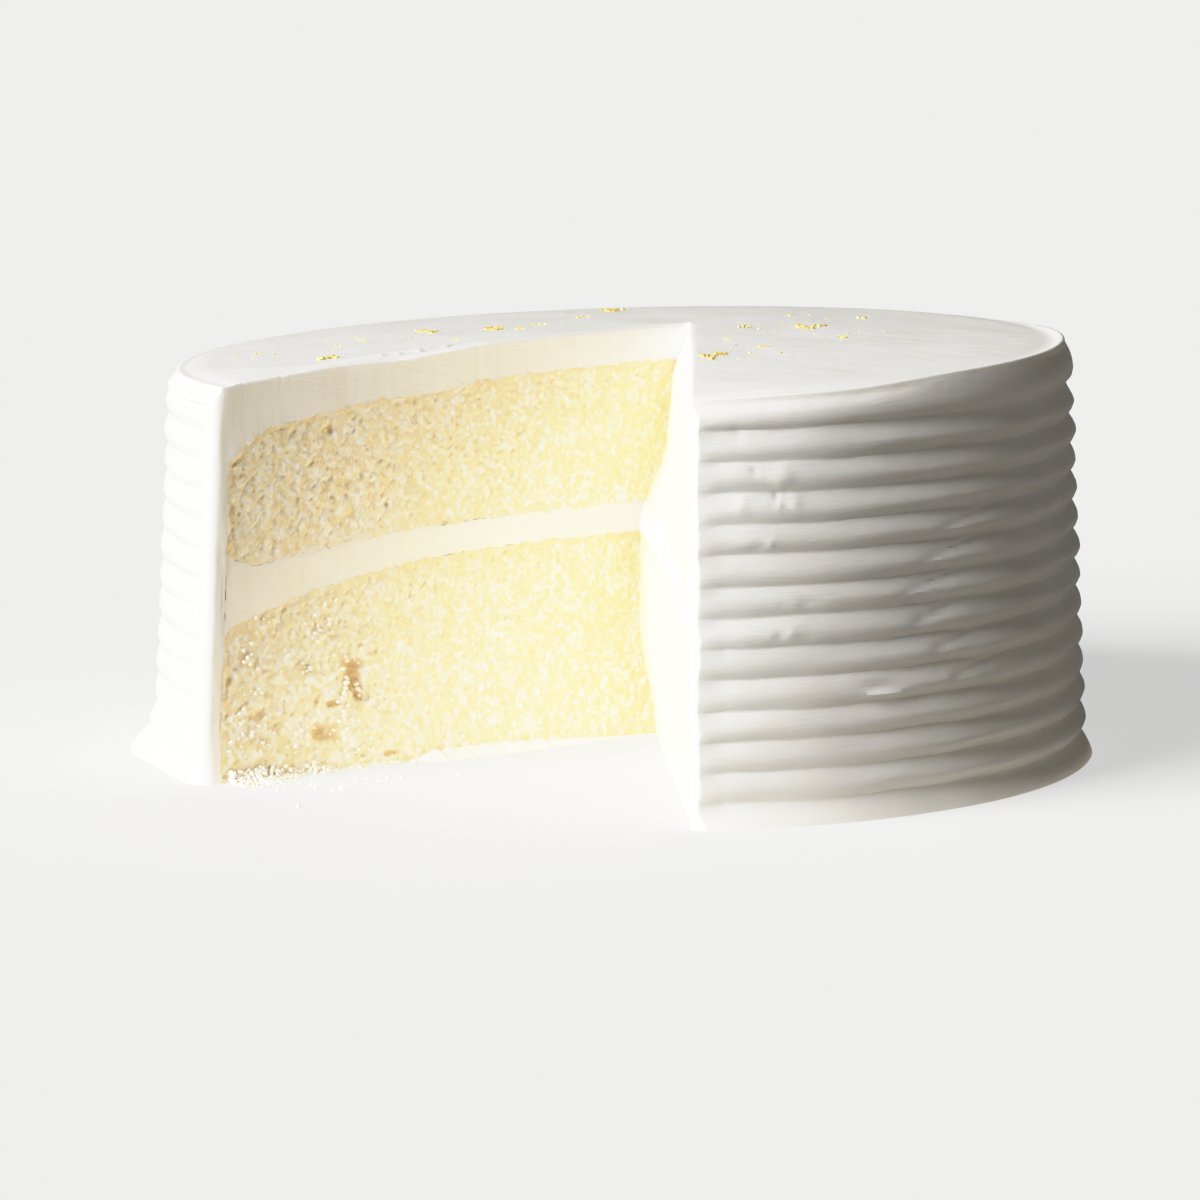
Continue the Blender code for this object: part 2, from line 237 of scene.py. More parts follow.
def cutPlaces(points):
    # for each point: distance along its cut, and the direction out of the cut face; zero off the cuts
    apex = apexAt(points[:, 2])
    right, rightInto = rightCut(apex)
    away = points[:, :2] - apex
    onLeft = (np.abs(away @ leftInto) < 0.03) & (away @ leftAlong > -0.03)
    alongRight = (away * right).sum(1)
    onRight = (np.abs((away * rightInto).sum(1)) < 0.03) & (alongRight > -0.03) & ~onLeft
    along = np.where(onLeft, away @ leftAlong, np.where(onRight, alongRight, 0.0))
    middle = -(leftInto + rightInto)
    middle = middle / np.linalg.norm(middle, axis=1)[:, None]
    own = np.where(onLeft[:, None], -leftInto, -rightInto)
    blend = smoothstep(0.0, 1.6, along)[:, None]
    out = middle * (1.0 - blend) + own * blend
    out = out / np.linalg.norm(out, axis=1)[:, None]
    out = np.where((onLeft | onRight)[:, None], out, 0.0)
    return along, np.column_stack([out, np.zeros(len(out))]), onLeft, onRight


def finishPiece(obj, slot, *replaced, sharp=50.0):
    obj.data.transform(Matrix.Scale(millimetre, 4))
    obj.data.transform(Matrix.Translation(Vector((*cake["axisPlace"], 0.0)) * millimetre))
    obj.data.shade_smooth()
    obj.data.set_sharp_from_angle(angle=math.radians(sharp))
    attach(obj, "root")
    if replaced:
        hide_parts(*replaced)
    print(obj.name, "has", sum(len(p.vertices) - 2 for p in obj.data.polygons), "triangles")
    return obj


# Node trees

def addNode(tree, kind, **settings):
    node = tree.nodes.new(kind)
    for name, value in settings.items():
        setattr(node, name, value)
    return node


def feed(tree, socket, value):
    if isinstance(value, bpy.types.NodeSocket):
        tree.links.new(value, socket)
    elif value is not None:
        socket.default_value = value


def calc(tree, operation, first, *others, clamp=False):
    # joins the values one after another
    for other in others or (None,):
        node = addNode(tree, "ShaderNodeMath", operation=operation, use_clamp=clamp)
        feed(tree, node.inputs[0], first)
        feed(tree, node.inputs[1], other)
        first = node.outputs[0]
    return first


def plus(tree, *values):
    return calc(tree, "ADD", *values)


def less(tree, first, second):
    return calc(tree, "SUBTRACT", first, second)


def times(tree, *values):
    return calc(tree, "MULTIPLY", *values)


def ratio(tree, first, second, clamp=False):
    return calc(tree, "DIVIDE", first, second, clamp=clamp)


def pointPlace(tree):
    return addNode(tree, "GeometryNodeInputPosition").outputs[0]


def vectorCalc(tree, operation, first, second=None, scale=None):
    node = addNode(tree, "ShaderNodeVectorMath", operation=operation)
    feed(tree, node.inputs[0], first)
    feed(tree, node.inputs[1], second)
    if scale is not None:
        feed(tree, node.inputs["Scale"], scale)
    return node.outputs[0]


def rangeOf(tree, value, low, high, newLow=0.0, newHigh=1.0, smooth=True):
    node = addNode(tree, "ShaderNodeMapRange", interpolation_type="SMOOTHSTEP" if smooth else "LINEAR")
    for socket, number in zip(node.inputs, (value, low, high, newLow, newHigh)):
        feed(tree, socket, number)
    return node.outputs[0]


def noiseNode(tree, vector, scale, detail=2.0, seed=0.0, output=0):
    node = addNode(tree, "ShaderNodeTexNoise", noise_dimensions="4D")
    feed(tree, node.inputs["Vector"], vector)
    feed(tree, node.inputs["W"], seed)
    feed(tree, node.inputs["Scale"], scale)
    feed(tree, node.inputs["Detail"], detail)
    return node.outputs[output]


def cellNode(tree, vector, width, feature="F1", seed=0.0):
    node = addNode(tree, "ShaderNodeTexVoronoi", voronoi_dimensions="4D", feature=feature)
    feed(tree, node.inputs["Vector"], vector)
    feed(tree, node.inputs["W"], seed)
    feed(tree, node.inputs["Scale"], ratio(tree, 1.0, width))
    return node


def newTree(name, sizes):
    tree = bpy.data.node_groups.new(name, "GeometryNodeTree")
    tree.interface.new_socket(name="Geometry", in_out="INPUT", socket_type="NodeSocketGeometry")
    for label, value in sizes.items():
        kind = "NodeSocketInt" if isinstance(value, int) else "NodeSocketFloat"
        tree.interface.new_socket(name=label, in_out="INPUT", socket_type=kind).default_value = value
    tree.interface.new_socket(name="Geometry", in_out="OUTPUT", socket_type="NodeSocketGeometry")
    return tree, addNode(tree, "NodeGroupInput").outputs


def closeTree(tree, geometry, material):
    realize = addNode(tree, "GeometryNodeRealizeInstances")
    paint = addNode(tree, "GeometryNodeSetMaterial")
    feed(tree, paint.inputs["Material"], material)
    tree.links.new(geometry, realize.inputs[0])
    tree.links.new(realize.outputs[0], paint.inputs["Geometry"])
    tree.links.new(paint.outputs[0], addNode(tree, "NodeGroupOutput").inputs[0])


def namedValue(tree, name, kind="FLOAT"):
    node = addNode(tree, "GeometryNodeInputNamedAttribute", data_type=kind)
    node.inputs["Name"].default_value = name
    return node.outputs["Attribute"]


def shiftPoints(tree, geometry, offset):
    node = addNode(tree, "GeometryNodeSetPosition")
    tree.links.new(geometry, node.inputs["Geometry"])
    feed(tree, node.inputs["Offset"], offset)
    return node.outputs[0]


def storeValue(tree, geometry, name, value):
    node = addNode(tree, "GeometryNodeStoreNamedAttribute", data_type="FLOAT", domain="POINT")
    node.inputs["Name"].default_value = name
    tree.links.new(geometry, node.inputs["Geometry"])
    feed(tree, node.inputs["Value"], value)
    return node.outputs[0]


def grow(obj, tree, sizes):
    # runs the tree on the object with these sizes and keeps the plain mesh
    modifier = obj.modifiers.new(tree.name, "NODES")
    modifier.node_group = tree
    for item in tree.interface.items_tree:
        if item.in_out == "INPUT" and item.name in sizes:
            modifier[item.identifier] = sizes[item.name]
    settle(obj)
    return obj


# Finishes

def newMaterial(name, colour, roughness, **sockets):
    material = bpy.data.materials.new(name)
    material.use_nodes = True
    shader = material.node_tree.nodes["Principled BSDF"]
    shader.inputs["Base Color"].default_value = (*colour, 1.0)
    shader.inputs["Roughness"].default_value = roughness
    for label, value in sockets.items():
        shader.inputs[label.replace("_", " ")].default_value = value
    return material, material.node_tree, shader


def mixColour(tree, share, first, second):
    node = addNode(tree, "ShaderNodeMix", data_type="RGBA")
    feed(tree, node.inputs[0], share)
    for socket, value in ((node.inputs[6], first), (node.inputs[7], second)):
        feed(tree, socket, (*value, 1.0) if isinstance(value, tuple) else value)
    return node.outputs[2]


def objectPlace(tree, stretch=(1.0, 1.0, 1.0)):
    place = addNode(tree, "ShaderNodeTexCoord").outputs["Object"]
    return vectorCalc(tree, "MULTIPLY", place, stretch)


def addBump(tree, shader, height, distance, strength=1.0):
    node = addNode(tree, "ShaderNodeBump")
    feed(tree, node.inputs["Height"], height)
    node.inputs["Distance"].default_value = distance
    node.inputs["Strength"].default_value = strength
    tree.links.new(node.outputs[0], shader.inputs["Normal"])


def shaderAttribute(tree, name):
    node = addNode(tree, "ShaderNodeAttribute", attribute_name=name)
    return node.outputs["Fac"]


def creamFinish(name, light, shade, roughness):
    # buttercream: nearly white, a little see-through, with faint drag lines and pinholes
    material, tree, shader = newMaterial(
        name, light, roughness, Subsurface_Weight=0.25,
        Subsurface_Radius=(1.0, 0.85, 0.62), Subsurface_Scale=0.002)
    place = objectPlace(tree)
    cloud = rangeOf(tree, noiseNode(tree, place, 55.0, 3.0, 1.0), 0.35, 0.7)
    tree.links.new(mixColour(tree, cloud, light, shade), shader.inputs["Base Color"])
    lines = noiseNode(tree, objectPlace(tree, (1.0, 1.0, 7.0)), 320.0, 3.0, 2.0)
    grain = noiseNode(tree, place, 1900.0, 2.0, 3.0)
    height = plus(tree, times(tree, lines, 0.7), times(tree, grain, 0.3))
    addBump(tree, shader, height, 0.00014, 0.8)
    return material


def spongeFinish(name, crumb, yellow, hollow, crust, clumps=(0.99, 0.955, 0.87)):
    # crumb is the pale raised part, yellow its richer patches, hollow the painted shade in the pores, crust
    # the baked edge
    material, tree, shader = newMaterial(
        name, crumb, 0.85, Subsurface_Weight=0.15,
        Subsurface_Radius=(1.0, 0.85, 0.55), Subsurface_Scale=0.001)
    place = objectPlace(tree)
    cloud = rangeOf(tree, noiseNode(tree, place, 380.0, 3.0, 4.0), 0.38, 0.64)
    fine = rangeOf(tree, noiseNode(tree, place, 1000.0, 2.0, 5.0), 0.38, 0.62)
    granule = rangeOf(tree, cellNode(tree, place, 0.0013, seed=5.0).outputs["Distance"], 0.15, 0.6)
    share = plus(tree, times(tree, cloud, 0.3), times(tree, fine, 0.35), times(tree, granule, 0.35))
    colour = mixColour(tree, rangeOf(tree, share, 0.22, 0.78), crumb, yellow)
    # towards the edge of the cut the crumb is torn: whiter clumps, partly a painted highlight, with painted
    # shade in tan between them
    torn = shaderAttribute(tree, "torn")
    clump = noiseNode(tree, place, 420.0, 3.0, 9.0)
    white = times(tree, rangeOf(tree, clump, 0.48, 0.62, 0.0, 0.6), torn)
    paintedTornShade = times(tree, rangeOf(tree, clump, 0.42, 0.32, 0.0, 0.35), torn)
    colour = mixColour(tree, paintedTornShade, mixColour(tree, white, colour, clumps), hollow)
    # painted shade: the deeper the relief, the more the colour turns to the tan of the pores
    colour = mixColour(tree, rangeOf(tree, shaderAttribute(tree, "hollow"), 0.4, 1.0), colour, hollow)
    # painted shade: the right cut face, which faces the key light, is deepened towards yellow to hold back its
    # glare
    colour = mixColour(tree, times(tree, shaderAttribute(tree, "rightCutPaintedShade"), 0.95), colour, yellow)
    patch = rangeOf(tree, noiseNode(tree, place, 190.0, 3.0, 6.0), 0.32, 0.62, 0.15, 1.0)
    baked = times(tree, shaderAttribute(tree, "crust"), patch)
    tree.links.new(mixColour(tree, baked, colour, crust), shader.inputs["Base Color"])
    addBump(tree, shader, fine, 0.00012, 0.7)
    return material


def goldFinish():
    # each chip has its own tone, from pale yellow over gold to brown
    material, tree, shader = newMaterial("goldSugar", (0.8, 0.55, 0.13), 0.45)
    tone = shaderAttribute(tree, "tone")
    grain = noiseNode(tree, objectPlace(tree), 1500.0, 2.0, 8.0)
    colour = mixColour(tree, rangeOf(tree, tone, 0.15, 0.5), (0.88, 0.84, 0.3), (0.9, 0.62, 0.14))
    colour = mixColour(tree, rangeOf(tree, tone, 0.65, 1.0), colour, (0.68, 0.4, 0.1))
    dark = mixColour(tree, rangeOf(tree, grain, 0.5, 0.75, 0.0, 0.25), colour, (0.6, 0.36, 0.1))
    tree.links.new(dark, shader.inputs["Base Color"])
    addBump(tree, shader, grain, 0.0001, 0.8)
    return material


frostingCream = creamFinish("frostingCream", (0.93, 0.925, 0.905), (0.89, 0.88, 0.85), 0.42)
fillingCream = creamFinish("fillingCream", (0.94, 0.915, 0.86), (0.91, 0.88, 0.815), 0.5)
spongeCrumb = spongeFinish(
    "spongeCrumb", (0.98, 0.94, 0.87), (0.94, 0.81, 0.54), (0.92, 0.76, 0.5), (0.93, 0.76, 0.47))
goldSugar = goldFinish()
print("finishes ready")


# The frosting

frostingSizes = {
    # turns are in degrees, from -Y round to +X; each span has its own fineness
    "spans": ((6.0, 30.0, 0.24), (30.0, 46.0, 0.36), (46.0, 90.0, 0.45),
              (90.0, 290.0, 1.25), (290.0, 304.0, 0.5), (304.0, 366.0, 6.0)),
    "bandStations": (0.0, 0.05, 0.14, 0.26, 0.4, 0.54, 0.7, 0.84, 0.94),
    "bandCount": 14, "firstGroove": 4.4, "bandPitch": 5.45,
    "topStep": 2.4, "underRings": 10,
    "rim": ((81.0, -0.4), (82.0, -0.15), (82.6, 0.08), (83.05, 0.12), (83.3, -0.05), (83.4, -0.35)),
    "wander": 0.3, "waver": 0.35, "wanderSize": 22.0, "topSwells": (0.22, 16.0), "knifeLines": (0.07, 3.0),
    "footSpread": 0.8, "footHeight": 3.0,
    "smearSpread": 3.6, "smearHeight": 10.0, "smearTurn": -95.0, "smearHalfWidth": 17.0,
    "edgeDrop": 0.9, "edgeDropWidth": 2.6, "edgeRidge": 0.55, "ridgePlace": 3.8, "ridgeWidth": 1.2,
    "dragMiddle": 56.0, "dragHalfLength": 14.0,
    "wallRounding": (2.4, 1.8), "topRounding": 0.5,
    "crispFrom": (26.0, 48.0), "crispTo": (92.0, 118.0), "softDrop": 0.9,
    # how far the comb was pressed in: lightly at the front and the left, not at all beside the cuts
    "frontDepth": 0.42, "pressedTurns": (22.0, 42.0), "leftTurns": (215.0, 270.0), "leftLess": 0.45,
    "rightCutTurns": (7.9, 12.4), "leftCutTurns": (298.8, 296.6), "rimFall": (70.4, 73.8),
    "seamTurn": 33.0, "seamHeight": 38.0, "seamHalfHeight": 18.0, "seamSlant": (8.0, 14.0), "seamLength": 12.0,
    "roughTurn": 68.0, "roughHalfTurn": 7.0, "roughHeight": 50.0, "roughHalfHeight": 17.0, "roughRest": 0.12,
}
combSizes = {
    "First Groove": frostingSizes["firstGroove"], "Band Pitch": frostingSizes["bandPitch"], "Band Crest": 0.42,
    "Top Band": 11.95, "Top Crest Drop": 0.22, "Groove Depth": 1.7, "Slope Roundness": 1.6,
    "Restart Depth": 0.7, "Restart Width": 0.2, "Drag Depth": 0.2, "Rough Depth": 1.3, "Seed": 3.0,
}
# burst bubbles, nicks and raised dabs: turn, height, half length, half height, and the share of the depth
blemishes = (
    (15.9, 62.6, 0.6, 0.5, 0.6), (17.2, 62.3, 0.9, 0.4, 0.2), (19.4, 61.4, 1.3, 1.3, -0.5),
    (18.7, 58.2, 0.45, 0.5, 0.6), (18.9, 57.0, 0.5, 0.6, -0.4), (14.4, 56.8, 0.8, 0.9, -0.35),
    (20.9, 57.2, 0.8, 1.2, -0.35), (17.8, 49.8, 0.6, 0.5, -0.4), (12.3, 49.9, 1.3, 0.3, 0.3),
    (14.6, 50.0, 1.6, 0.3, -0.25), (16.3, 49.4, 0.8, 0.4, 0.25), (22.2, 39.2, 1.4, 0.4, 0.5),
    (20.6, 38.7, 0.9, 0.4, -0.35), (18.8, 33.6, 0.7, 0.45, 0.45), (20.2, 33.9, 0.7, 0.4, -0.3),
    (22.1, 33.4, 1.2, 0.4, 0.4), (32.2, 23.4, 3.0, 0.45, 1.6), (32.2, 22.2, 3.0, 0.45, -1.4),
    (47.2, 29.1, 2.6, 0.6, 0.6), (13.9, 69.4, 0.8, 0.8, 0.3),
)
blemishStretch = {"length": 1.5, "height": 1.2, "depth": 0.5}


def combTree(material):
    tree, sizes = newTree("combedSide", combSizes)
    place = pointPlace(tree)
    split = addNode(tree, "ShaderNodeSeparateXYZ")
    tree.links.new(place, split.inputs[0])
    outward = vectorCalc(tree, "NORMALIZE", vectorCalc(tree, "MULTIPLY", place, (1.0, 1.0, 0.0)))
    up = less(tree, split.outputs[2], sizes["First Groove"])
    bandAt = ratio(tree, up, sizes["Band Pitch"])
    phase = calc(tree, "FRACT", bandAt)
    # each band swells above its groove to the crest, then slopes back to the next groove
    topmost = calc(tree, "GREATER_THAN", bandAt, sizes["Top Band"])
    lowered = times(tree, topmost, sizes["Top Crest Drop"])
    crest = less(tree, sizes["Band Crest"], lowered)
    below = less(tree, 1.0, ratio(tree, phase, crest))
    above = ratio(tree, less(tree, phase, crest), less(tree, 1.0, crest))
    away = calc(tree, "POWER", calc(tree, "MAXIMUM", below, above), sizes["Slope Roundness"])
    swell = noiseNode(tree, place, 0.055, 2.0, sizes["Seed"])
    uneven = rangeOf(tree, swell, 0.25, 0.75, 0.72, 1.12, smooth=False)
    hollow = times(tree, times(tree, away, sizes["Groove Depth"]), uneven)
    # where the comb was set down again its grooves start in mid band and run up into the groove above
    restart = namedValue(tree, "restart")
    middle = plus(tree, 0.4, times(tree, restart, 0.6))
    apart = calc(tree, "ABSOLUTE", less(tree, phase, middle))
    second = rangeOf(tree, ratio(tree, apart, sizes["Restart Width"]), 1.0, 0.0)
    ends = times(tree, rangeOf(tree, restart, 0.0, 0.3), rangeOf(tree, restart, 1.0, 0.7))
    second = times(tree, times(tree, second, sizes["Restart Depth"]), ends)
    level = vectorCalc(tree, "MULTIPLY", place, (0.07, 0.07, 0.9))
    drag = less(tree, noiseNode(tree, level, 1.0, 3.0, sizes["Seed"]), 0.5)
    drag = times(tree, drag, sizes["Drag Depth"])
    rough = less(tree, noiseNode(tree, place, 0.7, 3.0, sizes["Seed"]), 0.5)
    rough = times(tree, rough, sizes["Rough Depth"], namedValue(tree, "rough"))
    fall = plus(tree, plus(tree, hollow, second), plus(tree, drag, rough))
    fall = times(tree, fall, namedValue(tree, "combed"), -1.0)
    offset = vectorCalc(tree, "SCALE", outward, scale=fall)
    closeTree(tree, shiftPoints(tree, sizes["Geometry"], offset), material)
    return tree


def frostingProfile(sizes):
    lip = crownHeight(cake["rimRadius"]) + cake["rimLip"]
    top = [(r, float(crownHeight(r))) for r in steps(0.0, 79.5, sizes["topStep"])]
    top += [(r, lip + rise) for r, rise in sizes["rim"]]
    side = []
    for band in range(sizes["bandCount"] - 1, -2, -1):
        for station in reversed(sizes["bandStations"]):
            z = sizes["firstGroove"] + (band + station) * sizes["bandPitch"]
            if 0.5 < z < top[-1][1] - 0.2:
                side.append((float(crestRadius(z)), z))
    foot = [(cake["baseRadius"], 0.0), (cake["innerRadius"], 0.0), (float(innerRadius(30.0)), 30.0)]
    return top + side + foot + edgeFan(upperTop, float(innerRadius(62.0)), sizes["underRings"])[::-1]


def wallTurns(spans):
    turns = [np.arange(low, high - 0.001, size) for low, high, size in spans]
    return np.radians(np.concatenate(turns))


def wanderFrosting(obj, sizes):
    # leans the top, lets the side and the foot wander, and adds the marks of the knife and of burst bubbles
    points = readPoints(obj)
    x, y, z = points.T.copy()
    r = np.maximum(np.hypot(x, y), 1e-6)
    turn = np.arctan2(x, -y)
    side = 1.0 - smoothstep(68.0, 73.0, z)
    onWall = (r > innerRadius(z) + 0.5) & (z < 77.0)
    stretched = np.stack([x, y, z * 3.0], -1)
    away = (turn - math.radians(sizes["smearTurn"]) + math.pi) % math.tau - math.pi
    smear = np.exp(-(away / math.radians(sizes["smearHalfWidth"])) ** 4) * sizes["smearSpread"]
    smear = smear * np.maximum(0.0, 1.0 - z / sizes["smearHeight"]) ** 1.5
    push = side * sizes["wander"] * noiseAt(stretched, sizes["wanderSize"]) + smear
    push = push + sizes["footSpread"] * np.maximum(0.0, 1.0 - z / sizes["footHeight"])
    for spot, height, halfLength, halfHeight, depth in blemishes:
        u = (np.degrees(turn) - spot) * math.radians(1.0) * 87.0 / (blemishStretch["length"] * halfLength)
        v = (z - height) / (blemishStretch["height"] * halfHeight)
        push = push - blemishStretch["depth"] * depth * np.exp(-(u * u + v * v))
    push = np.where(onWall, push, 0.0)
    rise = side * sizes["waver"] * noiseAt(stretched * 1.6, sizes["wanderSize"]) * (z > 0.0)
    leaned = (lean(x) - 1.0) * z
    rise = np.where(onWall, rise + (1.0 - side) * leaned, leaned)
    flat = points[:, :2] - wedgeApex
    along, into = flat @ leftAlong, flat @ leftInto
    drag = np.exp(-((along - sizes["dragMiddle"]) / sizes["dragHalfLength"]) ** 2) * (z > 70.0) * ~onWall
    rise = rise - sizes["edgeDrop"] * drag * np.exp(-(np.maximum(into, 0.0) / sizes["edgeDropWidth"]) ** 2)
    ridge = np.exp(-((into - sizes["ridgePlace"]) / sizes["ridgeWidth"]) ** 2)
    rise = rise + sizes["edgeRidge"] * drag * ridge
    degrees = np.degrees(turn) % 360.0
    softRim = 1.0 - smoothstep(*sizes["crispFrom"], degrees) * smoothstep(*sizes["crispTo"][::-1], degrees)
    rise = rise - sizes["softDrop"] * softRim * smoothstep(80.0, 83.0, r) * smoothstep(71.5, 75.5, z)
    onTop = (z > crownHeight(r) - 0.6) & (r < 80.0)
    swells, lines = sizes["topSwells"], sizes["knifeLines"]
    waves = swells[0] * noiseAt(np.stack([x, y, z], -1), swells[1], 3.0)
    waves = waves + lines[0] * noiseAt(np.stack([x * 0.4, y, z], -1), lines[1], 5.0)
    rise = rise + np.where(onTop, waves * smoothstep(81.0, 74.0, r), 0.0)
    points[:, 0] += push * x / r
    points[:, 1] += push * y / r
    points[:, 2] += rise
    writePoints(obj, points)


def wallStations(reach, size, edgeSize):
    # stations from the apex out, closer together where the wall's edge is rounded
    return np.concatenate([steps(size, 86.0, size), steps(86.0 + edgeSize, 106.0, edgeSize), [reach]])


def markCuts(obj, hem=None):
    # gives the cut faces their outward direction, and frays the border towards the crumb
    points = readPoints(obj)
    along, out, onLeft, onRight = cutPlaces(points)
    onCut = onLeft | onRight
    if hem is not None:
        near, direction = hem(points)
        fray = 0.45 * noiseAt(points, 1.7, 9.0) + 0.3 * noiseAt(points, 0.7, 11.0)
        points += (fray * near * onCut)[:, None] * direction
        writePoints(obj, points)
    setAttribute(obj, "faceOut", out)
    setAttribute(obj, "alongCut", along)
    return points, along, onLeft, onRight


def knifeTree(name, material, sizes):
    tree, sockets = newTree(name, sizes)
    place = pointPlace(tree)
    upright = vectorCalc(tree, "MULTIPLY", place, (1.0, 1.0, 0.06))
    streakScale = ratio(tree, 1.0, sockets["Streak Width"])
    waveScale = ratio(tree, 1.0, sockets["Wave Width"])
    streaks = noiseNode(tree, upright, streakScale, 2.0, sockets["Seed"])
    waves = noiseNode(tree, place, waveScale, 2.0, sockets["Seed"])
    streaks = times(tree, less(tree, streaks, 0.5), sockets["Streak Depth"])
    waves = times(tree, less(tree, waves, 0.5), sockets["Wave Depth"])
    torn = rangeOf(tree, namedValue(tree, "alongCut"), 35.0, 75.0, 0.35, 1.0)
    shift = plus(tree, times(tree, streaks, torn), waves)
    offset = vectorCalc(tree, "SCALE", namedValue(tree, "faceOut", "FLOAT_VECTOR"), scale=shift)
    closeTree(tree, shiftPoints(tree, sockets["Geometry"], offset), material)
    return tree


def frostingHem(points):
    r = np.hypot(points[:, 0], points[:, 1])
    overUnder = points[:, 2] - upperTop(r) * lean(points[:, 0])
    fromWall = r - innerRadius(points[:, 2])
    near = np.exp(-(np.minimum(np.abs(overUnder), np.abs(fromWall)) / 0.5) ** 2)
    upward = (np.abs(overUnder) < np.abs(fromWall)) & (r < 81.0)
    outward = np.column_stack([points[:, :2] / np.maximum(r, 1.0)[:, None], np.zeros(len(r))])
    return near * (points[:, 2] > 0.5), np.where(upward[:, None], np.array((0.0, 0.0, 1.0)), outward)


def buildFrosting():
    sizes = frostingSizes
    obj = turnedSolid("frostingCoat", frostingProfile(sizes), wallTurns(sizes["spans"]))
    points = readPoints(obj)
    r = np.hypot(points[:, 0], points[:, 1])
    turn = np.degrees(np.arctan2(points[:, 0], -points[:, 1])) % 360.0
    z = points[:, 2]
    # the topmost band always falls away fully towards the rim
    pressed = sizes["frontDepth"] + (1.0 - sizes["frontDepth"]) * smoothstep(*sizes["pressedTurns"], turn)
    pressed = pressed * (1.0 - sizes["leftLess"] * smoothstep(*sizes["leftTurns"], turn))
    pressed = pressed * smoothstep(*sizes["rightCutTurns"], turn) * smoothstep(*sizes["leftCutTurns"], turn)
    pressed = np.maximum(pressed, smoothstep(*sizes["rimFall"], z))
    setAttribute(obj, "combed", pressed * (r > 83.6) * smoothstep(0.0, 1.0, z))
    fromSeam = np.abs(z - sizes["seamHeight"])
    seam = turn - sizes["seamTurn"] - sizes["seamSlant"][0] * fromSeam / sizes["seamSlant"][1]
    restart = np.clip(seam / sizes["seamLength"], 0.0, 1.0) * (fromSeam < sizes["seamHalfHeight"])
    setAttribute(obj, "restart", restart)
    across = (turn - sizes["roughTurn"]) / sizes["roughHalfTurn"]
    upDown = (z - sizes["roughHeight"]) / sizes["roughHalfHeight"]
    setAttribute(obj, "rough", sizes["roughRest"] + np.exp(-across ** 4 - upDown ** 4))
    grow(obj, combTree(frostingCream), combSizes)
    wanderFrosting(obj, sizes)
    stations = wallStations(wedge["reach"], 0.7, 0.35)
    levels = np.concatenate([[-6.0], steps(-0.5, 66.0, 0.8), steps(66.4, 82.0, 0.4), [92.0]])
    roundings = sizes["wallRounding"], sizes["topRounding"]
    cutAway(obj, knifeWedge("frostingKnife", stations, stations, levels, *roundings))
    markCuts(obj, frostingHem)
    knifeSizes = {"Streak Width": 0.9, "Streak Depth": 0.8, "Wave Width": 9.0, "Wave Depth": 0.5, "Seed": 5.0}
    grow(obj, knifeTree("frostingKnifeMarks", frostingCream, knifeSizes), knifeSizes)
    return finishPiece(obj, "frosting", "frosting", sharp=55.0)


buildFrosting()


# The filling

def fillingHem(points):
    r = np.hypot(points[:, 0], points[:, 1])
    leaned = lean(points[:, 0])
    above = np.abs(points[:, 2] - upperBottom(r) * leaned)
    below = np.abs(points[:, 2] - lowerTop(r) * leaned)
    near = np.exp(-(np.minimum(above, below) / 0.5) ** 2)
    return near, np.broadcast_to(np.array((0.0, 0.0, 1.0)), points.shape)


def leanPoints(obj):
    points = readPoints(obj)
    points[:, 2] *= lean(points[:, 0])
    writePoints(obj, points)


def evenTurns(count):
    return np.arange(count) * math.tau / count


def buildFilling():
    topEdge, lowEdge = float(innerRadius(45.0)) + 0.3, float(innerRadius(27.0)) + 0.3
    profile = edgeFan(upperBottom, topEdge, 16)
    profile += [(lowEdge, float(lowerTop(lowEdge)) - 1.6)]  # the cream fills in over the sponge's edge
    profile += edgeFan(lowerTop, lowEdge - 1.7, 16)[::-1]
    obj = turnedSolid("creamFilling", profile, evenTurns(160))
    leanPoints(obj)
    stations = np.concatenate([steps(0.45, 100.0, 0.45), [wedge["reach"]]])
    levels = np.concatenate([[-6.0], steps(24.0, 50.0, 0.4), [92.0]])
    cutAway(obj, knifeWedge("fillingKnife", stations, stations, levels))
    markCuts(obj, fillingHem)
    knifeSizes = {"Streak Width": 1.4, "Streak Depth": 0.22, "Wave Width": 6.0, "Wave Depth": 0.6, "Seed": 8.0}
    grow(obj, knifeTree("fillingKnifeMarks", fillingCream, knifeSizes), knifeSizes)
    return finishPiece(obj, "filling", "filling")


buildFilling()


# The sponge layers

crumbSizes = {
    "Pore Width": 1.25, "Pore Depth": 0.36, "Large Pore Width": 3.1, "Large Pore Depth": 0.55,
    "Granule Width": 1.2, "Granule Depth": 0.55, "Lump Width": 2.4, "Lump Depth": 0.5, "Torn Depth": 0.9,
    "Rest Depth": 0.1, "Seed": 2.0,
}
# holes torn in the left cut: distance from the apex, height, half width, half height, depth
tornHoles = (
    (64.7, 19.4, 1.9, 1.1, 2.4), (64.8, 17.8, 1.6, 1.3, 2.5), (64.7, 16.0, 1.2, 1.5, 2.3),
    (64.4, 14.3, 0.8, 1.4, 1.8), (70.0, 12.6, 1.5, 0.6, 1.3), (74.3, 7.6, 1.7, 1.4, 2.2),
    (71.9, 7.0, 2.0, 1.3, 1.4), (44.9, 44.3, 0.9, 0.6, 1.6), (59.5, 2.0, 2.0, 0.6, 1.2),
    (87.5, 22.5, 1.3, 1.8, 0.8), (86.0, 12.0, 2.4, 0.8, 0.7),
)


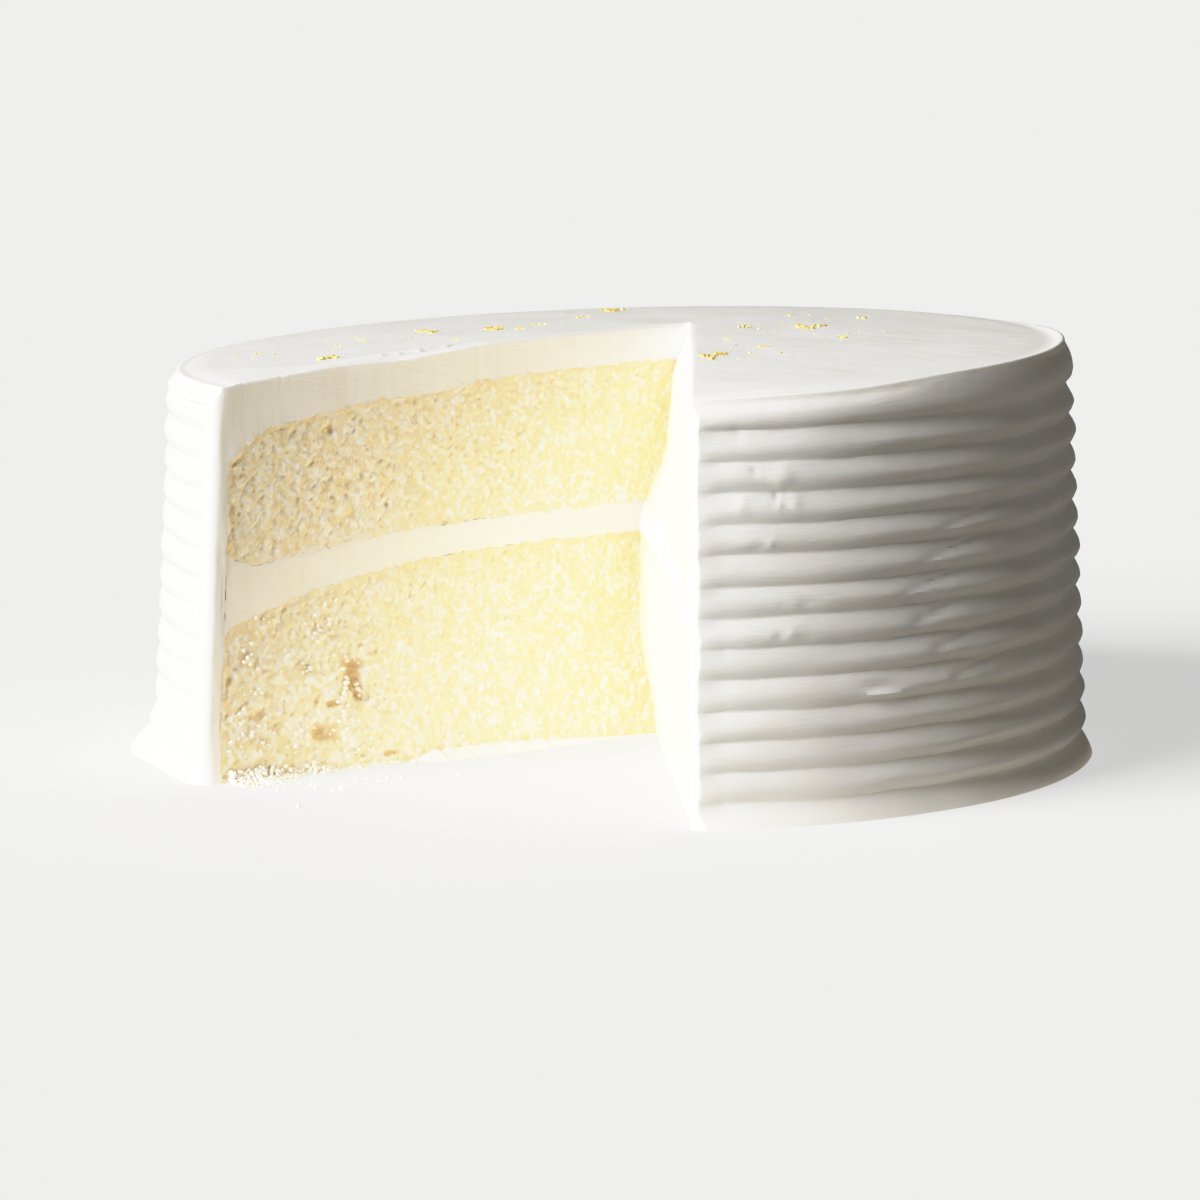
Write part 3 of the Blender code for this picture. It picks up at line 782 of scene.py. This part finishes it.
def crumbTree(material):
    tree, sizes = newTree("crumbRelief", crumbSizes)
    place = pointPlace(tree)
    bend = noiseNode(tree, place, 1.3, 2.0, sizes["Seed"], output=1)
    bend = vectorCalc(tree, "SUBTRACT", bend, (0.5, 0.5, 0.5))
    bent = vectorCalc(tree, "ADD", place, vectorCalc(tree, "SCALE", bend, scale=0.9))
    torn = namedValue(tree, "torn")
    depths = []
    for kind, openShare in (("Pore", 0.35), ("Large Pore", 0.72)):
        cell = cellNode(tree, bent, sizes[kind + " Width"], seed=sizes["Seed"])
        split = addNode(tree, "ShaderNodeSeparateXYZ")
        tree.links.new(cell.outputs["Color"], split.inputs[0])
        chance = plus(tree, split.outputs[0], times(tree, torn, 0.12))
        opened = rangeOf(tree, chance, openShare, openShare + 0.4)
        bowl = rangeOf(tree, cell.outputs["Distance"], 0.6, 0.1)
        depths.append(times(tree, bowl, opened, sizes[kind + " Depth"]))
    grainSeed = plus(tree, sizes["Seed"], 3.0)
    grain = cellNode(tree, bent, sizes["Granule Width"], seed=grainSeed).outputs["Distance"]
    grain = times(tree, less(tree, grain, 0.35), sizes["Granule Depth"])
    lumps = noiseNode(tree, place, ratio(tree, 1.0, sizes["Lump Width"]), 2.0, sizes["Seed"])
    reach = plus(tree, sizes["Lump Depth"], times(tree, torn, sizes["Torn Depth"]))
    lumps = times(tree, less(tree, lumps, 0.46), reach)
    pores = plus(tree, depths[0], depths[1])
    rest = plus(tree, sizes["Rest Depth"], namedValue(tree, "hole"))
    fall = plus(tree, plus(tree, pores, grain), plus(tree, lumps, rest))
    # the relief's depth is kept as hollow; the finish paints shade into the pores from it
    hollow = ratio(tree, plus(tree, fall, 0.2), 1.5, clamp=True)
    fall = times(tree, fall, namedValue(tree, "freedom"), -1.0)
    stored = storeValue(tree, sizes["Geometry"], "hollow", hollow)
    offset = vectorCalc(tree, "SCALE", namedValue(tree, "faceOut", "FLOAT_VECTOR"), scale=fall)
    closeTree(tree, shiftPoints(tree, stored, offset), material)
    return tree


def buildSponge(name, node, profile, top, bottom, tree, low, high, crustDepth):
    obj = turnedSolid(name, profile, evenTurns(120))
    leanPoints(obj)
    leftStations = np.concatenate([steps(0.28, 98.0, 0.28), [wedge["reach"]]])
    rightStations = np.concatenate([steps(0.42, 103.0, 0.42), [wedge["reach"]]])
    levels = np.concatenate([[-6.0], steps(low, high, 0.3), [92.0]])
    cutAway(obj, knifeWedge(name + "Knife", leftStations, rightStations, levels))
    points, along, onLeft, onRight = markCuts(obj)
    r = np.hypot(points[:, 0], points[:, 1])
    setAttribute(obj, "torn", smoothstep(40.0, 74.0, along) * np.where(onLeft, 1.0, 0.6))
    hole = np.zeros(len(points))
    ragged = noiseAt(points, 0.9, 13.0)
    for spot, height, halfWidth, halfHeight, depth in tornHoles:
        u, v = (along - spot) / halfWidth, (points[:, 2] - height) / halfHeight
        u, v = u + 0.4 * ragged, v + 0.4 * ragged
        hole = np.maximum(hole, depth * np.exp(-(u ** 4 + v ** 4) ** 0.9) * onLeft)
    setAttribute(obj, "hole", hole)
    # painted shade on the right cut face, which faces the key light: the finish deepens it towards yellow
    setAttribute(obj, "rightCutPaintedShade", onRight.astype(float))
    under = top(r) * lean(points[:, 0]) - points[:, 2]
    edge = innerRadius(points[:, 2]) - r
    over = points[:, 2] - bottom(r) * lean(points[:, 0])
    border = np.minimum(np.minimum(np.abs(under), np.abs(edge)), np.abs(over))
    # the relief dies down towards the border, flush with the cream
    setAttribute(obj, "freedom", 0.25 + 0.75 * smoothstep(0.0, 1.4, border))
    topCrust = np.exp(-(np.maximum(under, 0.0) / crustDepth) ** 2) * 0.9
    sideCrust = np.exp(-(np.maximum(edge, 0.0) / 1.2) ** 2) * 0.8
    crust = topCrust + sideCrust
    setAttribute(obj, "crust", np.clip(crust * (onLeft | onRight), 0.0, 1.0))
    grow(obj, tree, crumbSizes)
    return finishPiece(obj, "sponge", node, sharp=70.0)


def layerProfiles():
    lowEdge, highEdge = float(innerRadius(30.0)) + 0.3, float(innerRadius(62.0)) + 0.3
    midEdge, base = float(innerRadius(45.0)) + 0.3, float(innerRadius(0.0)) + 0.2
    lower = edgeFan(lowerTop, lowEdge - 1.7, 10, 0.4)
    lower += [(lowEdge, float(lowerTop(lowEdge)) - 1.3), (base, 1.0), (base - 1.0, 0.0), (0.0, 0.0)]
    return lower, edgeFan(upperTop, highEdge, 10, 0.4) + edgeFan(upperBottom, midEdge, 10, -0.4)[::-1]


lowerProfile, upperProfile = layerProfiles()
crumb = crumbTree(spongeCrumb)
buildSponge("lowerSponge", "lower_layer", lowerProfile, lowerTop, lambda r: -9.0, crumb, -0.6, 43.0, 1.7)
buildSponge("upperSponge", "upper_layer", upperProfile, upperTop, upperBottom, crumb, 37.0, 75.6, 1.1)


# Golden flakes and loose crumbs

bitSizes = {
    "Bit Width": 1.0, "Narrowness": 0.6, "Flatness": 0.4, "Raggedness": 0.35, "Rag Width": 0.9, "Tilt": 0.3,
    "Seed": 4,
}
flakeBits = {**bitSizes, "Raggedness": 0.55, "Rag Width": 0.5, "Flatness": 0.34}
looseBits = {**bitSizes, "Narrowness": 0.8, "Flatness": 0.65, "Raggedness": 0.5, "Rag Width": 0.6, "Tilt": 0.8}


def scatterTree(name, material):
    tree, sizes = newTree(name, bitSizes)
    ball = addNode(tree, "GeometryNodeMeshIcoSphere")
    ball.inputs["Subdivisions"].default_value = 2
    feed(tree, ball.inputs["Radius"], times(tree, sizes["Bit Width"], 0.5))
    flatten = addNode(tree, "GeometryNodeTransform")
    shape = addNode(tree, "ShaderNodeCombineXYZ")
    for socket, value in zip(shape.inputs, (1.0, sizes["Narrowness"], sizes["Flatness"])):
        feed(tree, socket, value)
    tree.links.new(ball.outputs[0], flatten.inputs["Geometry"])
    tree.links.new(shape.outputs[0], flatten.inputs["Scale"])
    tilt = addNode(tree, "FunctionNodeRandomValue", data_type="FLOAT")
    feed(tree, tilt.inputs[2], times(tree, sizes["Tilt"], -1.0))
    feed(tree, tilt.inputs[3], sizes["Tilt"])
    feed(tree, tilt.inputs["Seed"], sizes["Seed"])
    turn = addNode(tree, "ShaderNodeCombineXYZ")
    for socket, value in zip(turn.inputs, (tilt.outputs[1], tilt.outputs[1], namedValue(tree, "turn"))):
        feed(tree, socket, value)
    spread = addNode(tree, "GeometryNodeInstanceOnPoints")
    tree.links.new(sizes["Geometry"], spread.inputs["Points"])
    tree.links.new(flatten.outputs[0], spread.inputs["Instance"])
    tree.links.new(turn.outputs[0], spread.inputs["Rotation"])
    tree.links.new(namedValue(tree, "size"), spread.inputs["Scale"])
    realize = addNode(tree, "GeometryNodeRealizeInstances")
    tree.links.new(spread.outputs[0], realize.inputs[0])
    place = pointPlace(tree)
    ragScale = ratio(tree, 1.0, sizes["Rag Width"])
    rag = noiseNode(tree, place, ragScale, 2.0, sizes["Seed"], output=1)
    rag = vectorCalc(tree, "SUBTRACT", rag, (0.5, 0.5, 0.5))
    rag = vectorCalc(tree, "SCALE", rag, scale=sizes["Raggedness"])
    closeTree(tree, shiftPoints(tree, realize.outputs[0], rag), material)
    return tree


flakeSizes = {
    # places round the axis, then how many flakes, or a single flake's length and turn
    "clusters": ((16.1, -38.7, 5), (-1.5, 60.7, 4), (35.5, 5.4, 4), (-24.0, 18.3, 3), (-36.5, 19.5, 3)),
    "singles": (
        (-54.2, -16.9, 3.4, 30), (-18.8, 14.5, 2.0, 80), (-15.7, 22.0, 1.8, 10), (-30.4, -0.7, 1.9, 140),
        (-48.7, 10.3, 1.7, 55), (-53.1, 4.0, 1.6, 100), (-68.0, 2.5, 1.6, 20), (23.0, 5.6, 2.2, 170),
        (19.9, -16.7, 1.8, 60), (26.2, -27.5, 2.1, 15), (41.0, -12.1, 1.9, 120), (32.5, 30.9, 2.2, 75),
        (46.8, 27.2, 2.0, 5), (-7.5, 38.0, 1.9, 35)),
    "length": 2.2, "spread": 1.9, "goldenAngle": math.radians(137.5), "seed": 21, "clusterTone": 0.6,
    "chipShare": (0.28, 0.6), "chipsPerMillimetre": 3.0, "speckCount": 90, "speckSize": (0.25, 0.7),
    "edgeMargin": 1.3, "reach": 78.0,
}


def topHeight(x, y):
    return float(crownHeight(math.hypot(x, y)) * lean(x))


def inWedge(x, y, margin=1.0):
    apex = apexAt(np.array(76.0))
    away = np.array((x, y)) - apex
    return away @ leftInto < margin and away @ rightCut(apex)[1] < margin


def flakePlaces(sizes):
    # rows of x, y, length, turn and tone; tones run from pale yellow at 0 to brown at 1
    rows = []
    for i, (x, y, length, turn) in enumerate(sizes["singles"]):
        rows.append((x, y, length, math.radians(turn), 0.15 + 0.1 * (i % 4)))
    for x, y, count in sizes["clusters"]:
        for i in range(count):
            angle, reach = i * sizes["goldenAngle"], sizes["spread"] * math.sqrt(i)
            u, v = x + reach * math.cos(angle), y + reach * math.sin(angle)
            rows.append((u, v, sizes["length"], angle * 1.7, sizes["clusterTone"]))
    return rows


def chipPlaces(sizes):
    # every flake is a ragged little patch of chips, and specks lie round about
    draw = random.Random(sizes["seed"])
    flakes = flakePlaces(sizes)
    chips = []
    for x, y, length, turn, tone in flakes:
        for i in range(int(length * sizes["chipsPerMillimetre"])):
            along, across = draw.uniform(-0.6, 0.6) * length, draw.gauss(0.0, 0.22) * length
            u = x + along * math.cos(turn) - across * math.sin(turn)
            v = y + along * math.sin(turn) + across * math.cos(turn)
            size, chipTurn = length * draw.uniform(*sizes["chipShare"]), draw.uniform(0.0, math.tau)
            chips.append((u, v, size, chipTurn, min(1.0, max(0.0, draw.gauss(tone, 0.22)))))
    for i in range(sizes["speckCount"]):
        x, y, length, turn, tone = flakes[draw.randrange(len(flakes))]
        x, y = x + draw.gauss(0.0, 5.0), y + draw.gauss(0.0, 5.0)
        size, chipTurn = draw.uniform(*sizes["speckSize"]), draw.uniform(0.0, math.tau)
        chips.append((x, y, size, chipTurn, draw.uniform(0.0, 0.8)))
    onTop = [row for row in chips if math.hypot(row[0], row[1]) < sizes["reach"]]
    return [row for row in onTop if not inWedge(row[0], row[1], sizes["edgeMargin"])]


def scatterObject(name, rows):
    # rows of x, y, z, size, turn and tone
    obj = makeObject(name, [row[:3] for row in rows], [])
    for i, label in enumerate(("size", "turn", "tone")):
        setAttribute(obj, label, np.array([row[3 + i] for row in rows]))
    return obj


def buildFlakes():
    chips = chipPlaces(flakeSizes)
    rows = [(x, y, topHeight(x, y) + 0.1 * size, size, turn, tone) for x, y, size, turn, tone in chips]
    obj = scatterObject("goldenFlakes", rows)
    grow(obj, scatterTree("flakeScatter", goldSugar), flakeBits)
    return finishPiece(obj, "frosting", "frosting", sharp=35.0)


crumbPlaces = {
    # along the left cut, out from it, spread along, spread out, how many, largest, height of the heap
    "heaps": (
        (91.5, 0.6, 2.4, 1.0, 300, 1.25, 2.2), (87.5, 0.8, 3.0, 1.2, 300, 1.2, 1.8),
        (90.5, 3.4, 3.0, 2.2, 200, 0.9, 0.6), (89.0, 9.0, 4.0, 4.5, 45, 0.7, 0.0),
        (76.3, 0.4, 1.1, 0.7, 60, 1.4, 2.0), (67.0, 0.4, 1.8, 0.6, 26, 1.0, 0.5),
        (72.0, 14.0, 3.0, 1.6, 16, 0.8, 0.0), (80.0, 0.2, 6.0, 0.5, 80, 0.9, 0.6),
        (60.0, 0.6, 9.0, 0.8, 50, 0.8, 0.3), (82.0, 14.0, 3.0, 3.0, 6, 1.0, 0.0),
        (40.0, 3.0, 14.0, 1.5, 24, 0.6, 0.0)),
    "furthest": 95.0,
    # single crumbs in the open: place round the axis, size
    "strays": ((-50.6, -49.0, 1.5), (-52.2, -50.0, 1.0), (-49.4, -48.6, 0.8), (-57.5, -66.0, 1.1),
               (-30.0, -34.0, 0.7)),
    # bits clinging to the torn part of the left cut: along, height, size; more clumps of them are drawn
    "clinging": ((66.3, 17.2, 1.1), (66.6, 16.3, 1.3), (67.0, 15.3, 1.2), (67.5, 14.4, 1.3),
                 (68.2, 13.5, 1.2), (69.2, 12.9, 1.1)),
    "clumpCount": 36, "clumpSpan": (60.0, 93.0), "clumpTop": 70.0, "bitsPerClump": 4, "bitSize": (0.5, 1.2),
    "seed": 33,
}


def clingingRows(draw):
    # the clumps cling to the lower layer only
    rows = list(crumbPlaces["clinging"])
    low, high = crumbPlaces["clumpSpan"]
    while len(rows) < crumbPlaces["clumpCount"] * crumbPlaces["bitsPerClump"]:
        s, z = high - (high - low) * draw.random() ** 1.4, draw.uniform(1.5, crumbPlaces["clumpTop"])
        x, y = apexAt(np.array(z)) + leftAlong * s
        r = math.hypot(x, y)
        if r < innerRadius(z) - 1.5 and z < lowerTop(r) * lean(x) - 2.0:
            for i in range(crumbPlaces["bitsPerClump"]):
                along, height = s + draw.gauss(0.0, 0.9), z + draw.gauss(0.0, 0.9)
                rows.append((along, height, draw.uniform(*crumbPlaces["bitSize"])))
    placed = []
    for s, z, size in rows:
        x, y = apexAt(np.array(z)) + leftAlong * s - leftInto * 0.12 * size
        placed.append((x, y, z, size, draw.uniform(0.0, math.tau), 0.0))
    return placed


def buildCrumbs():
    draw = random.Random(crumbPlaces["seed"])
    rows = [(x, y, 0.3 * size, size, x, 0.0) for x, y, size in crumbPlaces["strays"]]
    rows += clingingRows(draw)
    for along, out, spreadAlong, spreadOut, count, largest, heaped in crumbPlaces["heaps"]:
        for i in range(count):
            s = min(draw.gauss(along, spreadAlong), crumbPlaces["furthest"])
            t = abs(draw.gauss(out, spreadOut))
            size = largest * draw.uniform(0.3, 1.0) ** 1.5
            place = wedgeApex + leftAlong * s - leftInto * (t + size * 0.2)
            height = size * 0.3 + heaped * max(0.0, 1.0 - t / (1.2 * spreadOut + 0.8)) * draw.random()
            rows.append((place[0], place[1], height, size, draw.uniform(0.0, math.tau), 0.0))
    obj = scatterObject("looseCrumbs", rows)
    paleCrumb = spongeFinish(
        "paleCrumb", (0.97, 0.945, 0.88), (0.95, 0.9, 0.76), (0.9, 0.8, 0.58), (0.92, 0.74, 0.46))
    grow(obj, scatterTree("crumbScatter", paleCrumb), looseBits)
    points = readPoints(obj)
    points[:, 2] = np.maximum(points[:, 2], 0.0)
    writePoints(obj, points)
    return finishPiece(obj, "sponge", sharp=60.0)


buildFlakes()
buildCrumbs()


# Smears of cream: along the foot of the left cut, and dragged up along its top edge

smearSizes = {
    "step": 0.6, "footSection": ((-0.3, 0.0), (1.0, 0.0), (0.8, 0.3), (0.5, 0.75), (0.15, 1.0), (-0.3, 1.0)),
    "topSection": ((-0.5, 0.0), (0.5, 0.0), (0.3, 0.75), (0.0, 1.0), (-0.3, 0.75)),
    # span along the left cut, distance out, lowest and greatest rise, width, raggedness, depth below
    "strips": (("foot", (57.0, -1.0), 0.0, 0.04, 1.7, 3.0, 0.16, 0.0),
               ("top", (70.0, 43.0), -3.4, -0.3, 0.28, 2.4, 0.3, 1.2)),
}


def buildSmears():
    # strips with a closed section, thinning out to nothing at both ends
    points, faces = [], []
    for label, span, middle, lowest, greatest, widest, ragged, sink in smearSizes["strips"]:
        section = smearSizes[label + "Section"]
        onTop = label == "top"
        start = apexAt(np.array(76.0)) if onTop else wedgeApex
        along = steps(*span, smearSizes["step"])
        share = np.linspace(0.0, 1.0, len(along))
        swell = smoothstep(0.0, 0.12, share) * smoothstep(1.0, 0.6 if onTop else 0.35, share)
        first, count = len(points), len(section)
        for i, s in enumerate(along):
            spine = Vector((s, 9.0 * middle, 0.0))
            wavy = 1.0 + 2.0 * ragged * noise.noise(spine / 1.6) + ragged * noise.noise(spine / 5.0)
            wavy = max(0.15, wavy)
            rise = lowest + (greatest - lowest) * min(1.2, swell[i] * wavy)
            width = widest * (0.3 + 0.7 * swell[i]) * max(0.3, 1.0 + 2.0 * ragged * noise.noise(spine / 2.3))
            sway = 0.6 * ragged * noise.noise(spine / 3.1) * onTop
            for t, lift in section:
                x, y = start + leftAlong * s - leftInto * (middle + sway + t * width)
                base = topHeight(x, y) - sink if onTop else 0.0
                points.append((x, y, base + lift * (rise + sink)))
        for i in range(len(along) - 1):
            a, b = first + i * count, first + (i + 1) * count
            faces += [(a + j, a + (j + 1) % count, b + (j + 1) % count, b + j) for j in range(count)]
        last = first + (len(along) - 1) * count
        faces.append(tuple(range(first + count - 1, first - 1, -1)))
        faces.append(tuple(range(last, last + count)))
    obj = makeObject("creamSmear", points, faces)
    obj.data.materials.append(frostingCream)
    return finishPiece(obj, "frosting", sharp=60.0)


buildSmears()


# Floor, light and camera

studio = {
    "keyTurn": -57.2, "keyHeight": 26.5, "keyPower": 7.0, "keySoftness": 43.0,
    "keyWarmth": (1.0, 0.99, 0.965), "warmth": (1.0, 0.945, 0.845),
    "fillTurn": 86.0, "fillHeight": 4.0, "fillPower": 0.36, "fillSoftness": 30.0,
    "surround": 0.038, "backdrop": 0.9, "floorHalf": 30.0, "floorGlow": 0.58, "floorPale": 0.36,
    "floorBounce": 0.17, "nearBounce": 0.4, "nearReach": 0.114, "notchFill": 0.95, "notchReach": (0.1, 0.082),
    # the picture's highlights roll off gently: light that arrives, light shown
    "shoulder": ((0.0, 0.0), (0.3, 0.3), (0.6, 0.6), (0.8, 0.775),
                 (1.0, 0.88), (1.3, 0.95), (1.8, 0.99), (2.4, 1.0)),
    "cameraDistance": 1.0656, "cameraHeight": 0.18754, "lens": 170.554, "pitch": 0.14885, "yaw": 0.003593,
}


def floorFinish():
    # pale to look at; it throws full light up at the cake from close by, and little from farther off
    pale, tree, shader = newMaterial("paleFloor", (0.9, 0.9, 0.9), 0.8, Specular_IOR_Level=0.0)
    seen = addNode(tree, "ShaderNodeLightPath").outputs["Is Camera Ray"]
    reach = addNode(tree, "ShaderNodeVectorMath", operation="LENGTH")
    tree.links.new(objectPlace(tree), reach.inputs[0])
    inside = rangeOf(tree, reach.outputs["Value"], *studio["notchReach"])
    near = rangeOf(tree, reach.outputs["Value"], studio["nearReach"] + 0.003, studio["nearReach"])
    dim = tuple(studio["floorBounce"] * part for part in studio["warmth"])
    bright = tuple(studio["nearBounce"] * part for part in studio["warmth"])
    bounce = mixColour(tree, near, dim, bright)
    tree.links.new(mixColour(tree, seen, bounce, (studio["floorPale"],) * 3), shader.inputs["Base Color"])
    hidden = less(tree, 1.0, seen)
    fill = times(tree, times(tree, hidden, inside), studio["notchFill"])
    glow = plus(tree, times(tree, seen, studio["floorGlow"]), fill)
    tree.links.new(mixColour(tree, seen, studio["warmth"], (1.0, 1.0, 1.0)), shader.inputs["Emission Color"])
    tree.links.new(glow, shader.inputs["Emission Strength"])
    return pale


def softenHighlights():
    view = bpy.context.scene.view_settings
    view.view_transform = "Standard"
    view.use_curve_mapping = True
    brightest = studio["shoulder"][-1][0]
    view.curve_mapping.white_level = (brightest, brightest, brightest)
    curve = view.curve_mapping.curves[3]
    for arriving, shown in studio["shoulder"][1:-1]:
        curve.points.new(arriving / brightest, shown)
    view.curve_mapping.update()


def buildStudio():
    size = studio["floorHalf"]
    corners = [(-size, -size, 0.0), (size, -size, 0.0), (size, size, 0.0), (-size, size, 0.0)]
    floor = makeObject("floor", corners, [(0, 1, 2, 3)])
    floor.data.materials.append(floorFinish())
    for name in ("key", "fill"):
        turn, height = math.radians(studio[name + "Turn"]), math.radians(studio[name + "Height"])
        level = math.cos(height)
        toLight = Vector((math.sin(turn) * level, -math.cos(turn) * level, math.sin(height)))
        sun = bpy.data.lights.new(name + "Light", "SUN")
        sun.energy, sun.angle = studio[name + "Power"], math.radians(studio[name + "Softness"])
        sun.color = studio["warmth"] if name == "fill" else studio["keyWarmth"]
        lamp = bpy.data.objects.new(name + "Light", sun)
        lamp.rotation_euler = (-toLight).to_track_quat("-Z", "Y").to_euler()
        bpy.context.scene.collection.objects.link(lamp)
    world = bpy.data.worlds.new("studioAir")
    world.use_nodes = True
    bpy.context.scene.world = world
    tree = world.node_tree
    air = tree.nodes["Background"]
    seen = addNode(tree, "ShaderNodeLightPath").outputs["Is Camera Ray"]
    tree.links.new(mixColour(tree, seen, studio["warmth"], (1.0, 1.0, 1.0)), air.inputs["Color"])
    strength = rangeOf(tree, seen, 0.0, 1.0, studio["surround"], studio["backdrop"], smooth=False)
    tree.links.new(strength, air.inputs["Strength"])


def buildCamera():
    lens = bpy.data.cameras.new("photoView")
    lens.lens, lens.sensor_width = studio["lens"], 36.0
    camera = bpy.data.objects.new("photoView", lens)
    x, y = cake["axisPlace"]
    camera.location = (x * millimetre, y * millimetre - studio["cameraDistance"], studio["cameraHeight"])
    camera.rotation_euler = (math.pi / 2.0 - studio["pitch"], 0.0, studio["yaw"])
    bpy.context.scene.collection.objects.link(camera)
    bpy.context.scene.camera = camera


buildStudio()
buildCamera()
softenHighlights()
print("studio ready")
